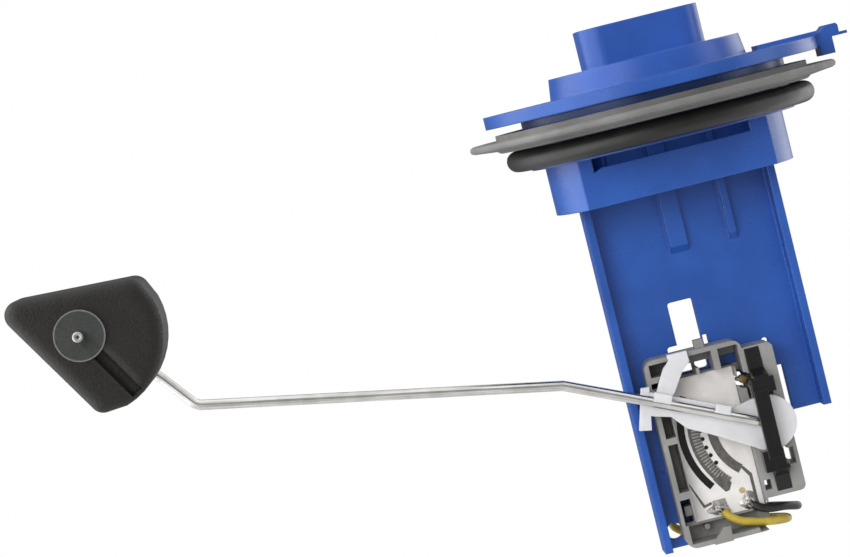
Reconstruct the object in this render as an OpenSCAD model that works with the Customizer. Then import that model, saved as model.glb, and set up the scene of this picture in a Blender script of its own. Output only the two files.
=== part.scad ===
// Fuel level sender: a sealed flange, a mounting plate with a card housing, and a bent arm with a float.
// The origin is on the flange's sealing face, +Z points up out of the tank and the card faces -Y.

/* [Flange] */
// Diameter of the flange disc
disc_d = 81; // [77:1:85]
// Thickness of the flange disc
disc_t = 3; // [2.5:0.1:4]
// Diameter of the neck that fits the tank opening
neck_d = 64; // [62:0.5:65]
// Height of the neck below the disc
neck_h = 12; // [11:0.5:14]
// Step from the neck in to the collar
collar_in = 3.1; // [2.6:0.1:3.6]
// Height of the collar below the neck
collar_h = 11.7; // [10:0.1:14]
// Wall of the collar
collar_wall = 2.5; // [2:0.1:3]
// Distance of the collar's flat front from the axis
flat_y = 18; // [17:0.5:19]
// Height of the notch in the top of the flat front
notch_h = 2.6; // [2:0.2:4]
// Diameter of the round step on the disc
step_d = 47.8; // [44:0.2:50]
// Height of the step
step_h = 5.1; // [4:0.1:7]
// Width of the connector boss
boss_w = 29.2; // [28:0.2:34]
// Depth of the connector boss
boss_d = 21; // [19:0.5:24]
// Height of the connector boss
boss_h = 9.35; // [8.5:0.05:12]
// Wall of the connector boss
boss_wall = 3; // [2.5:0.1:3.5]
// Depth of the connector socket
socket_h = 8; // [6:0.5:9]
// Radius of the boss's upright corners
boss_r = 5.7; // [4:0.1:6]

/* [Plate] */
// Distance of the plate's sides in from the collar's outside
plate_in = 5.45; // [5:0.05:6]
// Thickness of the mounting plate
plate_t = 2.5; // [2:0.1:3]
// Length of the plate below the sealing face, right side
plate_h = 82.5; // [79:0.5:86]
// Length of the leg below the sealing face, left side
leg_h = 108; // [107:0.5:113]
// Width of the leg
leg_w = 13; // [12:0.5:15]
// Depth of the side ribs
rib_d = 6; // [4:0.5:7]
// Thickness of the side ribs
rib_t = 1.9; // [1.5:0.1:2.4]
// Length of the two front ribs below the collar
front_rib_h = 15.8; // [12:0.2:18]
// Diameter of the sight hole in the leg
leg_hole_d = 4; // [3:0.1:5]

/* [Seals] */
// Width of the gasket, outside the neck
gasket_w = 12.6; // [11:0.2:13]
// Thickness of the gasket's body
gasket_t = 4.3; // [3.8:0.1:4.5]
// Width of the gasket's body, outside the neck
gasket_body_w = 5.9; // [5.5:0.1:6.5]
// Thickness of the gasket's lip
lip_t = 1.8; // [1.4:0.1:2]
// How far the gasket has slipped down from the sealing face
gasket_low = 1.9; // [1:0.1:2]
// Section of the O-ring
o_ring_section = 5; // [4.5:0.1:5.4]
// Gap between the gasket and the O-ring
ring_gap = 0.3; // [0.1:0.05:0.3]
// Radial slack of the O-ring on the neck
seal_slack = 0.5; // [0.3:0.05:0.6]
// Radial slack of the gasket on the neck
gasket_slack = 1.2; // [1:0.1:1.4]
// How far the gasket has slipped to the left
gasket_shift = 0.8; // [0:0.1:0.9]

/* [Card housing] */
// Left side of the housing, from the plate's left side
housing_in = 5.25; // [5.1:0.05:5.4]
// Top of the housing, below the sealing face
housing_top = 62; // [61:0.1:64]
// Height of the housing
housing_h = 45.9; // [45:0.1:48]
// Width of the card chamber, outside its walls
chamber_w = 23.5; // [23.2:0.1:24]
// Width of the bearing block beside the chamber
block_w = 7.2; // [6.8:0.1:8]
// Height of the housing above the bearing block
block_down = 2.3; // [1.8:0.1:2.6]
// Height of the housing below the bearing block
block_up = 7.5; // [7:0.1:8]
// Depth of the housing, front to back
housing_d = 9; // [8.4:0.1:9.6]
// Wall of the housing
housing_wall = 1.1; // [1:0.1:1.4]
// Diameter of the stakes that hold the housing on the plate
stake_d = 3; // [2.4:0.1:3.4]

/* [Resistor card] */
// Width of the ceramic card
card_w = 16.9; // [16:0.1:17]
// Room under the card in the housing
card_low = 5.3; // [5:0.1:5.6]
// Room over the card in the housing
card_high = 6.3; // [6.1:0.1:6.8]
// Thickness of the ceramic card
card_t = 0.8; // [0.6:0.1:1]
// Depth of the card's seat, from the plate
card_seat = 3.2; // [2.8:0.1:3.6]
// Thickness of the printed tracks
print_t = 0.1; // [0.05:0.05:0.2]
// Number of strips in the contact comb
comb_strips = 30; // [20:1:36]

/* [Arm] */
// Diameter of the arm's rod
rod_d = 2.5; // [2.2:0.1:2.8]
// Radius of the rod's bends, on its centre line
bend_r = 3.4; // [3:0.1:4]
// Distance from the rod's centre to the plate
rod_out = 12.4; // [12.2:0.1:13]
// Pivot, from the housing's left side
pivot_in = 25.4; // [25:0.1:25.8]
// Pivot's height in the housing, as a share of the housing's height
pivot_share = 0.547; // [0.54:0.001:0.555]
// Way from the pivot to the arm's first bend, across and up
bend_1_run = 45.1; // [43:0.1:47]
bend_1_rise = 20.45; // [19:0.05:22]
// Way from the pivot to the arm's second bend, across and up
bend_2_run = 129.5; // [125:0.5:134]
bend_2_rise = 37; // [35:0.5:39]
// Way from the pivot to the arm's third bend, across and up
bend_3_run = 135.7; // [131:0.1:140]
bend_3_rise = 44.9; // [43:0.1:47]
// Way from the pivot to the float's axle, across and up
axle_run = 149.7; // [145:0.1:154]
axle_rise = 60.4; // [59:0.1:62]
// Thickness of the wiper carrier
carrier_t = 1.8; // [1.5:0.1:1.9]
// Radius of the carrier's hub
hub_r = 6.6; // [6.3:0.1:6.8]
// Running clearance of the pivot
pivot_gap = 0.05; // [0.03:0.01:0.08]
// Gap between the carrier and the housing's front
carrier_gap = 0.4; // [0.3:0.05:0.6]

/* [Float] */
// Thickness of the float
float_t = 20; // [16:0.5:24]
// Radius of the float's round side
float_r = 18.1; // [17.5:0.1:18.5]
// Radius of the float's rounded edges
float_edge = 2.4; // [1.5:0.1:3]
// Diameter of the retaining washer
washer_d = 11.8; // [10:0.2:13]
// Thickness of the retaining washer
washer_t = 0.8; // [0.6:0.1:1.2]
// Length of rod in front of the washer
tip_out = 4.6; // [3:0.1:6]

/* [Wiring] */
// Diameter of the leads
lead_d = 2; // [1.6:0.1:2.1]
// Distance between the two connector pins
pin_pitch = 8; // [7:0.5:9]
// Width of a connector pin
pin_w = 1.5; // [1.2:0.1:1.8]
// Diameter of the crimp ferrules
ferrule_d = 3.2; // [2.8:0.1:3.6]

/* [Hidden] */
$fn = 48;

blue = "royalblue";
// Small fit between pieces that don't move on each other
fit = 0.05;
// Extra length of a cutting shape past the face that it cuts
cut = 1;

// Flange levels
step_top = disc_t + step_h;
step_draft = 0.7;
boss_top = step_top + boss_h;
collar_bottom = -neck_h - collar_h;
collar_r = neck_d / 2 - collar_in;
collar_d = 2 * collar_r;
hollow_r = collar_r - collar_wall;
notch_left = -17.3;
notch_right = 18.3;
notch_slope = 7.2;
notch_fall = 2.9;
tab_left = disc_d / 2 - 2.5;
tab_l = disc_d / 2 + 0.4;
tab_r = disc_d / 2 + 5.8;
tab_w = 7;
tab_low = -2;
tab_high = 4.9;
tab_foot = tab_r - 1.9;
pad_left = 26.3;
pad_w = 10;
pad_t = 1.1;
wing_w = 3;
wing_out = 2.2;
wing_t = 0.7;
wing_z = 1.9;
// Slanted panel behind the notch's left end, seen from above, and its two slits, each from x to x
notch_panel = [[-27, -6.6], [-16.4, -14.2], [-15.4, -12.8], [-26, -5.2]];
panel_slits = [[-21.5, -20.2], [-19.9, -19.6]];
panel_low = -18;
panel_top = -neck_h + 0.5;

// Plate places
plate_side = collar_r - plate_in;
house_l = -plate_side + housing_in;
house_t = -housing_top;
window_left = house_l + 9.7;
window_right = house_l + 15.8;
window_top = house_t + 11.5;
window_bottom = house_t - 5.5;
window_step = house_t + 1.2;
window_wide = house_l + 7.2;
slit_left = house_l + 31.8;
slit_w = 1.3;
slit_top = house_t - 9.2;
slit_bottom = house_t - 19.6;
leg_hole = [house_l - 1.4, house_t - 42];
// Front ribs, each from one x to the other, and how far they stand out
front_ribs = [[-4.7, -0.3], [9.8, 11.7]];
front_rib_d = 2;
// Pairs of posts on the plate's back, each with its middle x, its z and half the distance between the two
lead_posts_at = [[-17.8, -78, 4.1], [-13, -45, 5.1]];
post_h = 4.5;
post_d = 2.2;

// Housing places
house_b = house_t - housing_h;
chamber_r = house_l + chamber_w;
house_r = chamber_r + block_w;
block_t = house_t - block_down;
block_b = house_b + block_up;
house_front = -housing_d;
inner_l = house_l + housing_wall;
inner_t = house_t - housing_wall;
inner_b = house_b + housing_wall;
pivot_x = house_l + pivot_in;
pivot_z = house_b + pivot_share * housing_h;
slot_w = 3.6;
slot_l = pivot_x - slot_w / 2 + 0.3;
slot_deep = 4;
slot_top = block_t - 0.4;
slot_h = 7.4;
low_slot_top = pivot_z - 10.9;
low_slot_h = 5.7;
stakes = [[house_l + 3, house_t - 9], [house_l + 3, house_b + 13], [house_r - 1.9, house_t - 12]];

// Card places
card_r = chamber_r - 2.8;
card_l = card_r - card_w;
card_b = house_b + card_low;
card_t_z = house_t - card_high;
card_grow = (card_t_z - card_b) / 34.4;
card_front = -card_seat - card_t;
clip_w = 2.2;
clip_low = card_b + 2.1;
clip_high = clip_low + 2.4;
lip_x = house_l + 9.3;
top_tab = [house_l + 13.1, house_l + 15.3];
top_tab_h = 1.9;
pin_x = chamber_r - 1.2;
pin_z = house_t - 9.8;
pin_hole_d = 3.8;

// Openings right through the housing, each as left, low, right and high
shaft_low = pivot_z - 17.6;
windows = [
    [inner_l - 0.4, house_t - 6.9, inner_l + 1.6, house_t - 5.5],
    [card_l + 4, card_t_z + 0.3, card_l + 8, house_t - 3.5],
    [card_l + 8.8, card_t_z + 0.3, card_r - 4.5, house_t - 3.5],
    [card_r - 2.9, card_t_z + 0.3, chamber_r - 0.9, house_t - 3.5],
    [inner_l - 0.4, card_b + 0.4, card_l - 0.6, card_b + 6.6],
    [card_r + 0.5, shaft_low + 1.9, chamber_r - 0.7, shaft_low + 4.3],
    [card_r + 0.5, card_b, chamber_r - 0.7, shaft_low],
    [house_r - 2.4, pivot_z - 11, house_r - 0.9, pivot_z - 7.1],
    [chamber_r - 1, pivot_z + 6.4, chamber_r - 0.3, house_t - 10.3],
    [pivot_x - 2, pivot_z + 3.4, pivot_x + 3, pivot_z + 9.4],
    [pivot_x - 2, low_slot_top + 0.8, pivot_x + 3, pivot_z - 3.4]];
// Blind pockets in the housing's front, in the same form
pockets = [
    [inner_l, house_t - 4.1, inner_l + 4.8, inner_t],
    [card_l + 4, house_t - 4.3, card_r - 4.5, inner_t],
    [card_r - 2.9, house_t - 4.3, chamber_r - 0.9, inner_t],
    [card_r + 0.3, house_t - 8.9, chamber_r - 0.9, card_t_z + 1],
    [inner_l, card_b + 8.4, card_l - 0.3, card_b + 20],
    [inner_l, card_b + 21.6, card_l - 0.3, inner_t - 5.9],
    [inner_l + 0.2, inner_b, card_r - 2, card_b - 0.6]];
track_y = card_front;

// Arm places, each bend given from the pivot
rod_r = rod_d / 2;
rod_y = -rod_out;
carrier_back = house_front - carrier_gap;
carrier_front = carrier_back - carrier_t;
arm_bend_1 = [pivot_x - bend_1_run, pivot_z + bend_1_rise];
arm_bend_2 = [pivot_x - bend_2_run, pivot_z + bend_2_rise];
arm_bend_3 = [pivot_x - bend_3_run, pivot_z + bend_3_rise];
axle = [pivot_x - axle_run, pivot_z + axle_rise];
float_back = rod_y - bend_r - 0.2;
float_front = float_back - float_t;
washer_back = float_front - 0.3;
rod_tip = washer_back - washer_t - tip_out;
arm_angle = atan2(arm_bend_1[1] - pivot_z, pivot_x - arm_bend_1[0]);
stub_end = -2.2;

// Wiring places
lead_r = lead_d / 2;
tail_end = -6;
ferrule_h = 6;
ferrule_y = 6;
ferrule_r = ferrule_d / 2;
pin_top = boss_top - 1.5;
bar_z = -2;
bar_t = 0.8;

// Route of the yellow lead, from its solder joint round the housing's corner and up the plate's back
low = [house_l + 18.2, 0, house_b + 107.9];
signal_route = [[-7.6, -5.4, -101.4] + low, [-6.6, -6, -102.8] + low, [-4.4, -6.3, -104.4] + low,
    [-1, -6.2, -105.5] + low, [3, -5.6, -106.4] + low, [6.4, -3.6, -107] + low, [7.4, 0, -107.3] + low,
    [5.2, 3.2, -107.1] + low, [0, 4.6, -106.4] + low, [-8, 4.8, -105.6] + low, [-14.6, 4.8, -105.6] + low,
    [-18.2, 4.7, -104.6] + low, [-19.8, 4.6, -101] + low, [-20.2, 4.6, -88] + low, [-18.6, 4.6, -70],
    [-17.3, 4.6, -50], [-11, 4.6, -30], [-5.6, 5.4, -20], [-pin_pitch / 2 - 0.3, 5.9, -16.6],
    [-pin_pitch / 2, ferrule_y, -14.4], [-pin_pitch / 2, ferrule_y, -12.4], [-pin_pitch / 2, ferrule_y, -8]];
// Route of the black lead
ground_route = [[-0.2, -5.4, -101.5] + low, [1, -5.8, -102.5] + low, [3.4, -5.5, -103.4] + low,
    [7, -4.2, -103.9] + low, [9.9, -2, -104.8] + low, [10.4, 0.8, -105.2] + low, [8.4, 3.6, -105.1] + low,
    [4, 4.9, -104.3] + low, [-3, 5.1, -103.2] + low, [-10, 5.1, -102.4] + low, [-14.6, 5, -100.4] + low,
    [-16.6, 4.9, -95.4] + low, [-16.6, 4.6, -84] + low, [-16.2, 4.6, -68], [-12.5, 4.6, -50], [-5, 4.6, -34],
    [1.6, 5.2, -22], [pin_pitch / 2 - 0.3, 5.9, -17], [pin_pitch / 2, ferrule_y, -14.6],
    [pin_pitch / 2, ferrule_y, -12.4], [pin_pitch / 2, ferrule_y, -8]];

// Extrudes an outline drawn in x and z from y = back to y = front
module slab(front, back) {
    translate([0, back, 0]) rotate([90, 0, 0]) linear_extrude(back - front) children();
}

// Extrudes an outline drawn in y and z from x = left to x = right
module side_slab(left, right) {
    translate([left, 0, 0]) rotate([90, 0, 90]) linear_extrude(right - left) children();
}

// Rectangle between two corners, in a drawing plane
module rect(left, low, right, high) {
    translate([left, low]) square([right - left, high - low]);
}

// Rectangle with round corners, between two corners
module round_rect(left, low, right, high, r) {
    rect(left + r, low, right - r, high);
    rect(left, low + r, right, high - r);
    for (x = [left + r, right - r], y = [low + r, high - r]) {
        translate([x, y]) circle(r);
    }
}

// Upright block with round corners, centred on the axis
module round_block(width, depth, height, r) {
    linear_extrude(height) round_rect(-width / 2, -depth / 2, width / 2, depth / 2, r);
}

// Sector of a ring in a drawing plane, with angles from the -x direction, positive down
module ring_sector(inner, outer, from, to) {
    steps = 16;
    turn = (to - from) / steps;
    polygon(concat(
        [for (i = [0 : steps]) outer * [-cos(from + i * turn), -sin(from + i * turn)]],
        [for (i = [steps : -1 : 0]) inner * [-cos(from + i * turn), -sin(from + i * turn)]]));
}

// Straight stretch of rod between two points
module rod_between(a, b, r) {
    run = b - a;
    reach = norm(run);
    translate(a) rotate([0, acos(run[2] / reach), atan2(run[1], run[0])]) cylinder(h = reach, r = r);
}

// Round bend of a rod at a corner, between two unit directions
module rod_bend(at, from, to, r) {
    turn = acos(from * to);
    axis = cross(from, to) / sin(turn);
    out = cross(from, axis);
    centre = at - from * bend_r * tan(turn / 2) - out * bend_r;
    multmatrix([[out[0], from[0], axis[0], centre[0]], [out[1], from[1], axis[1], centre[1]],
        [out[2], from[2], axis[2], centre[2]], [0, 0, 0, 1]])
        rotate_extrude(angle = turn) translate([bend_r, 0]) circle(r, $fn = 32);
}

// Points along a round bend at a corner, between two unit directions
function bend_points(at, from, to) =
    let (turn = acos(from * to), axis = cross(from, to) / sin(turn), out = cross(from, axis),
        centre = at - from * bend_r * tan(turn / 2) - out * bend_r, steps = max(3, round(turn / 11)))
    [for (i = [0 : steps]) centre + bend_r * (out * cos(i * turn / steps) + from * sin(i * turn / steps))];
function bent_path(corners) =
    let (last = len(corners) - 1, ways = [for (i = [0 : last - 1]) unit(corners[i + 1] - corners[i])])
    concat([corners[0]],
        [for (i = [1 : last - 1]) for (spot = bend_points(corners[i], ways[i - 1], ways[i])) spot],
        [corners[last]]);

// Smooth curve through the points of a route
function curve_point(p, i, t) =
    let (a = p[max(i - 1, 0)], b = p[i], c = p[i + 1], d = p[min(i + 2, len(p) - 1)])
    0.5 * (2 * b + (c - a) * t + (2 * a - 5 * b + 4 * c - d) * t * t + (3 * b - a - 3 * c + d) * t * t * t);
function curve(p, parts) = concat(
    [for (i = [0 : len(p) - 2], k = [0 : parts - 1]) curve_point(p, i, k / parts)], [p[len(p) - 1]]);
function unit(v) = v / norm(v);
function carried(side, way) = unit(side - way * (side * way));
function sides_along(ways, i, side) =
    i == len(ways) ? [] : let (next = carried(side, ways[i])) concat([next], sides_along(ways, i + 1, next));

// Tube along a path, as one closed skin
module tube(path, r, sides) {
    count = len(path);
    ways = [for (i = [0 : count - 1]) unit(path[min(i + 1, count - 1)] - path[max(i - 1, 0)])];
    across = sides_along(ways, 0, unit(cross(ways[0], [0.1, 1, 0.2])));
    skin = [for (i = [0 : count - 1], k = [0 : sides - 1])
        let (a = 360 * k / sides) path[i] + r * (across[i] * cos(a) + cross(ways[i], across[i]) * sin(a))];
    walls = [for (i = [0 : count - 2], k = [0 : sides - 1])
        let (n = (k + 1) % sides) [i * sides + k, (i + 1) * sides + k, (i + 1) * sides + n, i * sides + n]];
    ends = [[for (k = [0 : sides - 1]) k], [for (k = [sides - 1 : -1 : 0]) (count - 1) * sides + k]];
    polyhedron(skin, concat(walls, ends));
}

module connector_boss() {
    difference() {
        translate([0, 0, step_top]) round_block(boss_w, boss_d, boss_h, boss_r);
        translate([0, 0, boss_top - socket_h])
            round_block(boss_w - 2 * boss_wall, boss_d - 2 * boss_wall, socket_h + cut,
                boss_r - boss_wall + 1);
    }
}

// Raised pad, index tab and its small wing on the disc's right side
module index_tab() {
    lifted = 0.3;
    translate([pad_left, -pad_w / 2, disc_t]) cube([tab_l - pad_left, pad_w, pad_t]);
    translate([tab_left, -tab_w / 2, lifted]) cube([tab_l + 2 - tab_left, tab_w, disc_t - lifted]);
    slab(-tab_w / 2, tab_w / 2) polygon([[tab_l, tab_low], [tab_foot, tab_low], [tab_foot, wing_z],
        [tab_r, wing_z], [tab_r, tab_high - 0.5], [tab_r - 0.5, tab_high],
        [tab_l + 2.2, tab_high], [tab_l, disc_t]]);
    translate([tab_r - 1, -wing_w / 2, wing_z]) cube([wing_out + 1, wing_w, wing_t]);
}

// Ring of the collar's wall between two levels
module collar_ring(low, high) {
    translate([0, 0, low]) difference() {
        cylinder(h = high - low, r = collar_r, $fn = 96);
        translate([0, 0, -cut]) cylinder(h = high - low + 2 * cut, r = hollow_r, $fn = 96);
    }
}

// Drawing of the notch in the top of the collar's flat front
module notch_outline() {
    polygon([[notch_right, -neck_h + cut], [notch_right, -neck_h - notch_h],
        [notch_left, -neck_h - notch_h], [notch_left - notch_slope, -neck_h - notch_h - notch_fall],
        [-collar_d, -neck_h - notch_h - notch_fall], [-collar_d, -neck_h + cut]]);
}

module collar() {
    difference() {
        collar_ring(collar_bottom, 0);
        translate([-collar_d, -collar_d - flat_y, collar_bottom - cut])
            cube([2 * collar_d, collar_d, collar_h + cut]);
    }
    intersection() {
        translate([0, 0, collar_bottom]) cylinder(h = collar_h, r = collar_r - 0.2, $fn = 96);
        slab(-flat_y, -flat_y + collar_wall) difference() {
            rect(-collar_r, collar_bottom, collar_r, -neck_h);
            notch_outline();
        }
    }
    difference() {
        translate([0, 0, panel_low]) linear_extrude(panel_top - panel_low) polygon(notch_panel);
        for (slit = panel_slits) {
            slab(-flat_y, 0) rect(slit[0], panel_low - cut, slit[1], -neck_h - 0.5);
        }
    }
}

module plate_outline() {
    rect(-plate_side, -plate_h, plate_side, 0);
    rect(-plate_side, -leg_h, -plate_side + leg_w, -plate_h + cut);
}

module plate_cuts() {
    round_rect(window_left, window_bottom, window_right, window_top, 0.7);
    round_rect(window_wide, window_bottom, window_right, window_step, 0.7);
    rect(window_right + 0.3, window_step - 1.6, window_right + 1.5, window_step + 1);
    rect(slit_left, slit_bottom, slit_left + slit_w, slit_top);
    translate(leg_hole) circle(leg_hole_d / 2);
    // Openings behind the brass pin and above the bearing block
    round_rect(pin_x - 1.2, pin_z - 4.6, pin_x + 0.8, pin_z + 1.4, 0.9);
    translate([house_r - 0.4, block_t - 0.6]) circle(0.9);
    for (stake = stakes) {
        translate(stake) circle(stake_d / 2 + fit);
    }
}

// Posts on the plate's back that guide the leads, one pair at each height
module lead_posts() {
    for (place = lead_posts_at, side = [-1, 1]) {
        translate([place[0] + side * place[2], plate_t - fit, place[1]]) rotate([-90, 0, 0])
            cylinder(h = post_h, d = post_d);
    }
}

module mounting_plate() {
    slab(0, plate_t) difference() {
        plate_outline();
        plate_cuts();
    }
    slab(-rib_d, 0.1) {
        rect(-plate_side, -leg_h, -plate_side + rib_t, 0.1);
        rect(plate_side - rib_t, -plate_h, plate_side, 0.1);
    }
    rib_end = collar_bottom - front_rib_h;
    for (rib = front_ribs) {
        side_slab(rib[0], rib[1])
            polygon([[0.1, 0], [-front_rib_d, 0], [-front_rib_d, rib_end + front_rib_d], [0.1, rib_end]]);
    }
    // Webs that tie the plate to the collar's sides
    slab(0, plate_t) {
        rect(-hollow_r - 0.8, collar_bottom, -plate_side + cut, 0.1);
        rect(plate_side - cut, collar_bottom, hollow_r + 0.8, 0.1);
    }
    lead_posts();
}

module pin_slots() {
    for (side = [-1, 1]) {
        translate([side * pin_pitch / 2 - pin_w / 2 - fit, -bar_t / 2 - fit, bar_z - fit]) {
            cube([pin_w + 2 * fit, bar_t + 2 * fit, boss_top + cut - bar_z]);
            cube([pin_w + 2 * fit, plate_t + 2 * cut, bar_t + 2 * fit]);
        }
    }
}

module flange_body() {
    color(blue) difference() {
        union() {
            cylinder(h = disc_t, d = disc_d, $fn = 96);
            translate([0, 0, disc_t])
                cylinder(h = step_h, d1 = step_d, d2 = step_d - 2 * step_draft, $fn = 96);
            connector_boss();
            index_tab();
            difference() {
                translate([0, 0, -neck_h]) cylinder(h = neck_h, d = neck_d, $fn = 96);
                translate([0, 0, -neck_h - cut]) cylinder(h = neck_h + cut, r = hollow_r, $fn = 96);
            }
            collar();
            mounting_plate();
        }
        pin_slots();
    }
}

module flange_gasket() {
    inner = neck_d / 2 + gasket_slack;
    body = neck_d / 2 + gasket_body_w;
    outer = neck_d / 2 + gasket_w;
    top = -gasket_low;
    bottom = top - gasket_t;
    lip_top = top - 1.3;
    color("dimgray") translate([-gasket_shift, 0, 0]) rotate_extrude($fn = 96) polygon([
        [inner, bottom], [inner, top], [body, top], [body, lip_top - 0.2], [outer - 0.8, lip_top],
        [outer - 0.2, lip_top - 0.3], [outer, lip_top - lip_t / 2], [outer - 0.2, lip_top - lip_t + 0.3],
        [outer - 0.9, lip_top - lip_t], [body + 0.4, bottom + 0.6], [body - 0.4, bottom]]);
}

module o_ring() {
    ring_r = neck_d / 2 + seal_slack + o_ring_section / 2;
    color("black") translate([0, 0, -gasket_low - gasket_t - ring_gap - o_ring_section / 2])
        rotate_extrude($fn = 96) translate([ring_r, 0]) circle(d = o_ring_section, $fn = 32);
}

module housing_outline() {
    round_rect(house_l, house_b, chamber_r - 2.1, house_t, 2.6);
    round_rect(house_l + 4, block_b, chamber_r, house_t, 2.2);
    round_rect(chamber_r - 3, block_b, house_r, block_t, 1.4);
}

// Rectangles of a list, each given as left, low, right and high
module rects(list) {
    for (r = list) {
        rect(r[0], r[1], r[2], r[3]);
    }
}

module card_housing() {
    color("darkgray") {
        difference() {
            slab(house_front, 0) housing_outline();
            // Seat of the card, with the open space above and below it
            slab(house_front - cut, -card_seat)
                rect(card_l - fit, card_b - fit, card_r + fit, card_t_z + 0.4);
            slab(house_front - cut, -housing_wall) {
                rects(pockets);
            }
            // Open space and corner where the leads come out
            slab(house_front - cut, card_front) rect(inner_l + 0.2, inner_b, card_r, card_b + cut);
            slab(house_front - cut, -2.4) rect(card_r - 3, inner_b - 0.9, house_r, card_b + 1.4);
            slab(-50, 50) rects(windows);
            // Sockets of the retaining bridge
            slab(house_front - cut, -slot_deep) {
                rect(slot_l, slot_top - slot_h, slot_l + slot_w, slot_top);
                rect(slot_l, low_slot_top - low_slot_h, slot_l + slot_w, low_slot_top);
            }
            // Bearing of the arm's pivot end
            translate([pivot_x, cut, pivot_z]) rotate([90, 0, 0])
                cylinder(h = housing_d + 2 * cut, r = rod_r + pivot_gap);
            translate([pin_x, cut, pin_z]) rotate([90, 0, 0])
                cylinder(h = housing_d + 2 * cut, d = pin_hole_d);
        }
        // Stakes through the plate, spread behind it
        for (stake = stakes) {
            translate([stake[0], -0.5, stake[1]]) rotate([-90, 0, 0])
                cylinder(h = plate_t + 0.6, d = stake_d);
            translate([stake[0], plate_t + fit, stake[1]]) rotate([-90, 0, 0])
                cylinder(h = 0.9, d = stake_d + 2);
        }
        // Tab on top, card clips and the small pin of the floor
        slab(-6, -3) rect(top_tab[0], house_t - 0.5, top_tab[1], house_t + top_tab_h);
        slab(card_front - 1.4, card_front - fit) rect(card_l - clip_w, clip_low, card_l + 0.3, clip_high);
        slab(card_front - cut, -housing_wall) rect(card_l - clip_w, clip_low, card_l - 0.3, clip_high);
        slab(-3.6, -housing_wall) rect(card_r + 0.4, pin_z - 0.4, chamber_r + 0.8, pin_z + 0.4);
        slab(house_front, house_front + 2)
            polygon([[lip_x, inner_b + 2.2], [lip_x + 1.7, inner_b + 2.2], [lip_x + 1.7, house_b - 0.3],
                [lip_x - 2.8, house_b - 0.3], [lip_x - 2.8, house_b + 0.5]]);
        translate([inner_l + 5, -housing_wall, card_b - 1.6]) rotate([90, 0, 0]) cylinder(h = 3, d = 1.4);
    }
}

module resistor_card() {
    color("linen") slab(card_front, -card_seat - 0.02) rect(card_l, card_b, card_r, card_t_z);
}

// A printed layer on the card, drawn about the pivot
module printed() {
    slab(track_y - print_t, track_y) translate([pivot_x, pivot_z]) scale(card_grow) children();
}

module resistor_track() {
    color("black") printed() ring_sector(19.4, 21.1, -30, 38);
}

module contact_comb() {
    from = -30;
    to = 47;
    pitch = (to - from) / comb_strips;
    color("gray") printed() {
        ring_sector(17.9, 18.7, from, to);
        for (i = [0 : comb_strips - 1]) {
            rotate(from + (i + 0.25) * pitch) rect(-18.2, -0.2, -15.9, 0.25);
        }
    }
}

module return_track() {
    color("silver") printed() ring_sector(11.9, 14.1, -30, 50);
}

module brass_pin() {
    color("goldenrod") translate([pin_x, -3.6 - 0.02, pin_z]) rotate([90, 0, 0]) cylinder(h = 3, d = 1.9);
}

// Strap in front of the rod's pivot end, with a foot in each socket of the housing
module retaining_bridge() {
    front = rod_y - rod_r - 0.3;
    step_y = carrier_front - carrier_gap;
    foot_l = slot_l + fit;
    foot_r = slot_l + slot_w - fit;
    top_foot_low = slot_top - slot_h + fit;
    low_foot_high = low_slot_top - fit;
    bar_l = pivot_x - 2.4;
    bar_r = pivot_x + 1.1;
    color([0.1, 0.1, 0.1]) {
        side_slab(foot_l, foot_r) {
            polygon([[-slot_deep - fit, slot_top - fit], [house_front, slot_top - fit],
                [house_front - 0.6, top_foot_low + 2.4], [front - 1, top_foot_low + 1],
                [front - 1, top_foot_low - 0.4], [step_y, top_foot_low - 0.4],
                [house_front, top_foot_low], [-slot_deep - fit, top_foot_low]]);
            polygon([[-slot_deep - fit, low_foot_high], [house_front, low_foot_high],
                [step_y, low_foot_high + 0.9], [front - 1, low_foot_high + 0.9],
                [front - 1, low_foot_high], [house_front - 0.6, low_foot_high - 2],
                [house_front, low_foot_high - low_slot_h + 2 * fit],
                [-slot_deep - fit, low_foot_high - low_slot_h + 2 * fit]]);
        }
        slab(front - 1.4, step_y) {
            rect(bar_l, pivot_z + 7.6, pivot_x + 3.1, top_foot_low + 0.4);
            rect(bar_l - 1.3, low_foot_high, bar_r + 0.3, pivot_z - 5.9);
        }
        slab(front - 2, front) rect(bar_l, pivot_z - 8, bar_r, pivot_z + 8.4);
    }
}

module solder_joint(x, z) {
    translate([x, card_front, z]) rotate([90, 0, 0])
        rotate_extrude() polygon([[0, 0], [1.6, 0], [1.2, 0.7], [0.5, 1.2], [0, 1.3]]);
}

module signal_solder() {
    color("silver") solder_joint(card_l + 6.1, card_b + 2);
}

module ground_solder() {
    color("silver") solder_joint(card_l + 13.4, card_b + 2);
}

module signal_lead() {
    color("gold") tube(curve(signal_route, 4), lead_r, 8);
}

module ground_lead() {
    color([0.15, 0.15, 0.15]) tube(curve(ground_route, 4), lead_r, 8);
}

// Connector pin that runs down through the flange and turns back to its ferrule
module terminal(side) {
    x = side * pin_pitch / 2;
    translate([x - pin_w / 2, -bar_t / 2, bar_z]) {
        cube([pin_w, bar_t, pin_top - bar_z]);
        cube([pin_w, ferrule_y + bar_t, bar_t]);
    }
    translate([x - pin_w / 2, ferrule_y - bar_t / 2, tail_end])
        cube([pin_w, bar_t, bar_z + bar_t - tail_end]);
}

module signal_terminal() {
    color("goldenrod") terminal(-1);
}

module ground_terminal() {
    color("goldenrod") terminal(1);
}

module ferrule(side) {
    translate([side * pin_pitch / 2, ferrule_y, tail_end - ferrule_h]) difference() {
        cylinder(h = ferrule_h, r = ferrule_r);
        translate([0, 0, -cut]) cylinder(h = ferrule_h - 1 + cut, r = lead_r + fit);
    }
}

module signal_ferrule() {
    color("silver") ferrule(-1);
}

module ground_ferrule() {
    color("silver") ferrule(1);
}

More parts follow.
